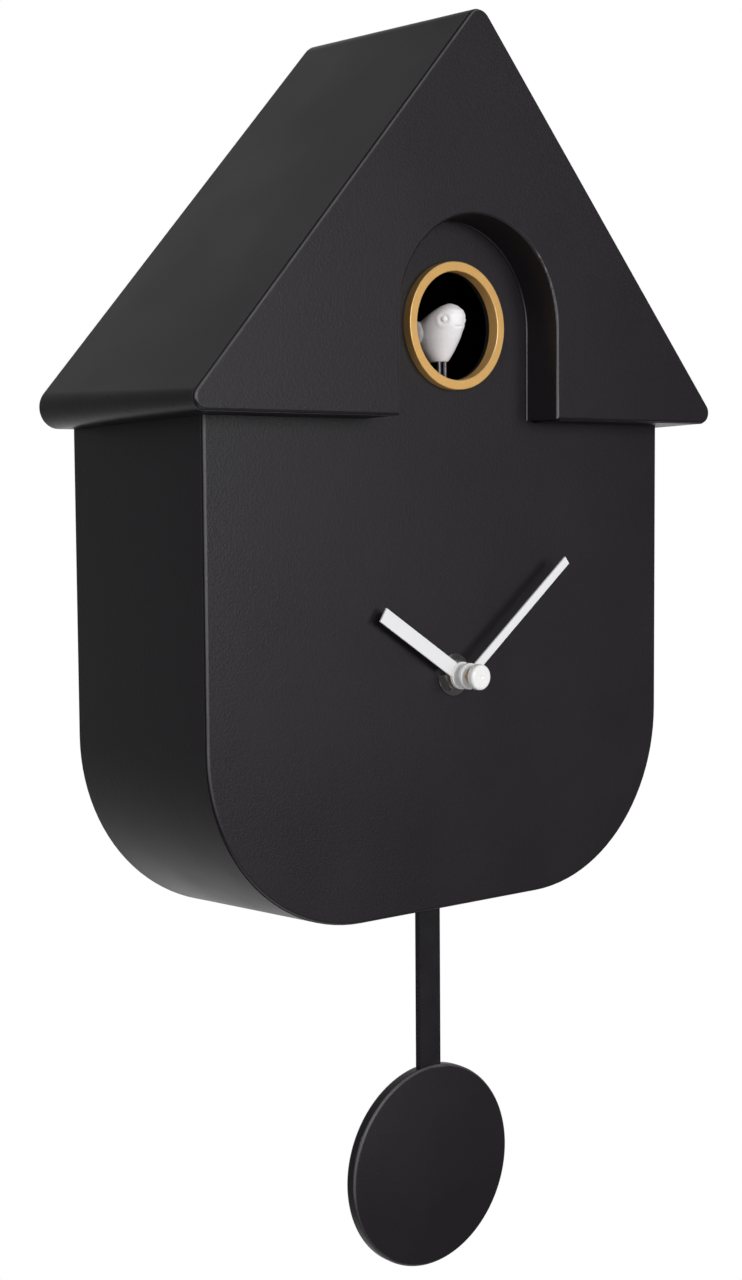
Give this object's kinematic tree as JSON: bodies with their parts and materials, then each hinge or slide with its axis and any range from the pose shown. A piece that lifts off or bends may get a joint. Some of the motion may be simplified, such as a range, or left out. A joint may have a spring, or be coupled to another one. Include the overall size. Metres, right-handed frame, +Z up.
{
  "type": "cuckoo clock",
  "caption": "House-shaped wall clock with a gabled roof, a small bird in a ringed round window, plain baton hands and a flat disc pendulum.",
  "frame": {"origin": "centre of the hanging keyhole in the wall plane", "axes": "+X to the right seen from the front, +Y into the wall, +Z up"},
  "size_m": [0.2212, 0.08, 0.4059],
  "materials": {
    "black_abs": "satin",
    "black_inner_abs": "fine moulded texture",
    "movement_black": "moulded",
    "black_acetal": "smooth",
    "satin_gold": "satin gold",
    "brass_turned": "turned",
    "chrome_plate": "polished",
    "zinc_steel": "zinc plated",
    "nickel_strip": "nickel plated",
    "magnet_nickel": "nickel plated",
    "copper_winding": "enamelled copper wire",
    "white_acetal": "smooth",
    "white_paint": "satin white",
    "white_plastic": "gloss white",
    "bird_white": "semi-gloss white",
    "black_metal": "satin black",
    "cell_jacket": "printed film over a steel can, left plain",
    "speaker_paper": "paper cone",
    "circuit_board": "solder mask",
    "black_resin": "potting resin"
  },
  "bodies": {
    "house": {"roof_shell": "black_abs", "roof_front_plate": "black_abs", "body_shell": "black_abs", "dial_panel": "black_abs", "window_ring": "satin_gold", "back_cover": "black_inner_abs", "cover_screws": "zinc_steel", "battery_box": "black_inner_abs", "cuckoo_cells": "cell_jacket", "battery_contacts": "nickel_strip", "speaker_cone": "speaker_paper", "speaker_magnet": "zinc_steel", "sound_board": "circuit_board", "sound_chip": "black_resin", "switch_base": "nickel_strip", "volume_base": "black_inner_abs", "movement_front_case": "movement_black", "movement_rear_case": "movement_black", "movement_cell": "cell_jacket", "stepper_stator": "nickel_strip", "stepper_coil": "copper_winding", "movement_board": "circuit_board", "shaft_bush": "brass_turned", "dial_washer": "chrome_plate", "dial_nut": "chrome_plate", "pendulum_drive": "movement_black", "pivot_pin": "zinc_steel", "drive_coil": "copper_winding", "cuckoo_frame": "black_inner_abs", "motor": "zinc_steel"},
    "hour": {"hour_wheel": "white_acetal", "hour_hand": "white_paint"},
    "minute": {"minute_arbor": "white_acetal", "minute_hand": "white_paint", "minute_nut": "brass_turned", "centre_cap": "white_plastic"},
    "motion_works": {"motion_wheel": "white_acetal"},
    "time_setting": {"setting_knob": "white_acetal"},
    "pendulum": {"pendulum_hanger": "zinc_steel", "pendulum_magnet": "magnet_nickel", "pendulum_rod": "black_metal", "pendulum_disc": "black_abs"},
    "bird_slide": {"bird": "bird_white", "bird_pins": "chrome_plate", "bird_carriage": "black_acetal"},
    "drive_gear": {"drive_gear": "black_acetal"},
    "motor_rotor": {"motor_shaft": "zinc_steel"},
    "battery_door": {"battery_door": "black_inner_abs"},
    "sound_switch": {"switch_knob": "black_inner_abs"},
    "volume_wheel": {"volume_wheel": "black_inner_abs"}
  },
  "joints": [
    {"name": "minute_hand_turn", "type": "hinge", "parent": "house", "child": "minute", "pos_m": [0, -0.07, -0.1508], "axis": [0, 1, 0], "continuous": true},
    {"name": "hour_hand_turn", "type": "hinge", "parent": "house", "child": "hour", "pos_m": [0, -0.065, -0.1508], "axis": [0, 1, 0], "continuous": true},
    {"name": "motion_wheel_turn", "type": "hinge", "parent": "house", "child": "motion_works", "pos_m": [0, -0.058, -0.1388], "axis": [0, 1, 0], "continuous": true},
    {"name": "setting_knob_turn", "type": "hinge", "parent": "house", "child": "time_setting", "pos_m": [0.01039, -0.05, -0.1328], "axis": [0, 1, 0], "continuous": true},
    {"name": "pendulum_swing", "type": "hinge", "parent": "house", "child": "pendulum", "pos_m": [0, -0.0514, -0.188], "axis": [0, 1, 0], "range_deg": [-7, 7]},
    {"name": "bird_travel", "type": "slide", "parent": "house", "child": "bird_slide", "axis": [0, 1, 0], "range_m": [0, 0.02]},
    {"name": "drive_gear_turn", "type": "hinge", "parent": "house", "child": "drive_gear", "pos_m": [0, -0.04, -0.07226], "axis": [1, 0, 0], "range_deg": [-241, 2]},
    {"name": "motor_turn", "type": "hinge", "parent": "house", "child": "motor_rotor", "pos_m": [0.013, -0.03, -0.07226], "axis": [1, 0, 0], "range_deg": [-4, 720]},
    {"name": "battery_door_pull", "type": "slide", "parent": "house", "child": "battery_door", "axis": [0, 1, 0], "range_m": [0, 0.03]},
    {"name": "sound_switch_slide", "type": "slide", "parent": "house", "child": "sound_switch", "axis": [1, 0, 0], "range_m": [0, 0.004]},
    {"name": "volume_wheel_turn", "type": "hinge", "parent": "house", "child": "volume_wheel", "pos_m": [-0.062, -0.0059, -0.136], "axis": [0, 0, 1], "range_deg": [-130, 130]}
  ],
  "couplings": [
    {"joint": "hour_hand_turn", "follows": "minute_hand_turn", "ratio": 0.083333},
    {"joint": "motion_wheel_turn", "follows": "minute_hand_turn", "ratio": -0.33333},
    {"joint": "setting_knob_turn", "follows": "minute_hand_turn", "ratio": 1},
    {"joint": "drive_gear_turn", "follows": "bird_travel", "rad_per_m": -208.33},
    {"joint": "motor_turn", "follows": "bird_travel", "rad_per_m": 625}
  ]
}
